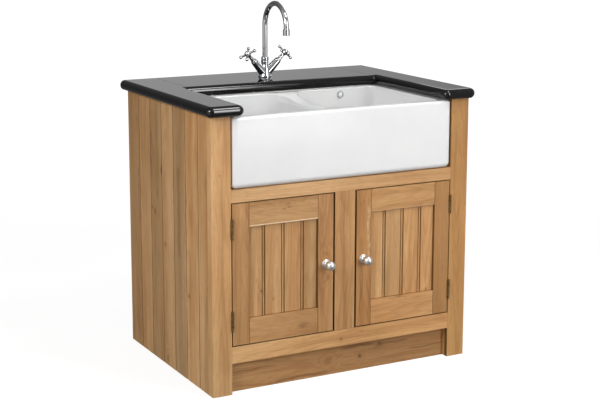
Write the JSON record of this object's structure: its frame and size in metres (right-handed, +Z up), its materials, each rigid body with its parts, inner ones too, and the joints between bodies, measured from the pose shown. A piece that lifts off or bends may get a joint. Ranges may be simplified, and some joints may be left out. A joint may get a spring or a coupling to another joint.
{
  "type": "butler sink unit",
  "caption": "Oak cupboard with paired inset doors carrying a white double-bowl fireclay sink, a black stone worktop and a chrome swan-neck mixer tap.",
  "frame": {"origin": "middle of the bounding box, on the floor", "axes": "+Z up, +X to the right seen from the front, +Y towards the wall; the doors face -Y"},
  "size_m": [0.964, 0.744, 1.177],
  "materials": {
    "oak": "solid rustic oak, waxed, honey brown",
    "oak_veneer": "oak-faced board, lacquered",
    "granite": "black granite, polished",
    "fireclay": "white glaze, gloss",
    "chrome": "bright chrome plate",
    "plain_brass": "machined brass",
    "satin_nickel": "satin nickel",
    "antique_brass": "dark antique brass",
    "stainless": "stainless steel, brushed",
    "screw_steel": "zinc-plated steel",
    "white_plastic": "white moulded plastic",
    "brown_plastic": "brown moulded plastic",
    "rubber": "black rubber",
    "sealant": "translucent silicone"
  },
  "bodies": {
    "cabinet": {"back_panel": "oak_veneer", "back_rails": "oak", "bottom_rail": "oak", "centre_stile": "oak", "cupboard_floor": "oak_veneer", "door_catches": "brown_plastic", "hinge_and_catch_screws": "screw_steel", "hinge_frame_leaves": "antique_brass", "hinge_pins": "antique_brass", "left_bonnet": "chrome", "left_front_post": "oak", "left_side_boards": "oak", "outlet_pipe": "white_plastic", "overflow_ring": "white_plastic", "plinth_board": "oak", "right_bonnet": "chrome", "right_front_post": "oak", "right_side_boards": "oak", "rubber_seals": "rubber", "side_battens": "oak", "sink": "fireclay", "sink_bearers": "oak", "sink_rail": "oak", "sink_sealant": "sealant", "spout_collar": "chrome", "tap_backnut": "plain_brass", "tap_body": "chrome", "tap_shank": "plain_brass", "trap_body": "white_plastic", "trap_cup": "white_plastic", "waste_flanges": "stainless", "waste_nuts": "white_plastic", "waste_pipe": "white_plastic", "worktop_back": "granite", "worktop_left": "granite", "worktop_right": "granite"},
    "left_door": {"left_door_stiles": "oak", "left_door_rails": "oak", "left_door_panel": "oak", "left_door_knob": "satin_nickel", "left_hinge_leaves": "antique_brass", "left_door_strike": "screw_steel", "left_door_screws": "screw_steel"},
    "right_door": {"right_door_stiles": "oak", "right_door_rails": "oak", "right_door_panel": "oak", "right_door_knob": "satin_nickel", "right_hinge_leaves": "antique_brass", "right_door_strike": "screw_steel", "right_door_screws": "screw_steel"},
    "spout": {"swan_neck_spout": "chrome", "aerator": "chrome"},
    "left_tap_handle": {"left_handle": "chrome", "left_spindle": "plain_brass"},
    "right_tap_handle": {"right_handle": "chrome", "right_spindle": "plain_brass"},
    "left_strainer": {"left_basket": "stainless"},
    "right_strainer": {"right_basket": "stainless"}
  },
  "joints": [
    {"name": "left_door_hinge", "type": "hinge", "parent": "cabinet", "child": "left_door", "pos_m": [-0.398, -0.33, 0.382], "axis": [0, 0, -1], "range_deg": [0, 110]},
    {"name": "right_door_hinge", "type": "hinge", "parent": "cabinet", "child": "right_door", "pos_m": [0.398, -0.33, 0.382], "axis": [0, 0, 1], "range_deg": [0, 110]},
    {"name": "spout_swivel", "type": "hinge", "parent": "cabinet", "child": "spout", "pos_m": [0, 0.236, 0.98], "axis": [0, 0, 1], "continuous": true},
    {"name": "left_handle_turn", "type": "hinge", "parent": "cabinet", "child": "left_tap_handle", "pos_m": [0, 0.236, 0.918], "axis": [-0.6904, -0.1146, 0.7143], "range_deg": [0, 90]},
    {"name": "right_handle_turn", "type": "hinge", "parent": "cabinet", "child": "right_tap_handle", "pos_m": [0, 0.236, 0.918], "axis": [0.6904, -0.1146, 0.7143], "range_deg": [0, 90]},
    {"name": "left_strainer_lift", "type": "slide", "parent": "cabinet", "child": "left_strainer", "axis": [0, 0, 1], "range_m": [0, 0.27]},
    {"name": "right_strainer_lift", "type": "slide", "parent": "cabinet", "child": "right_strainer", "axis": [0, 0, 1], "range_m": [0, 0.27]}
  ]
}
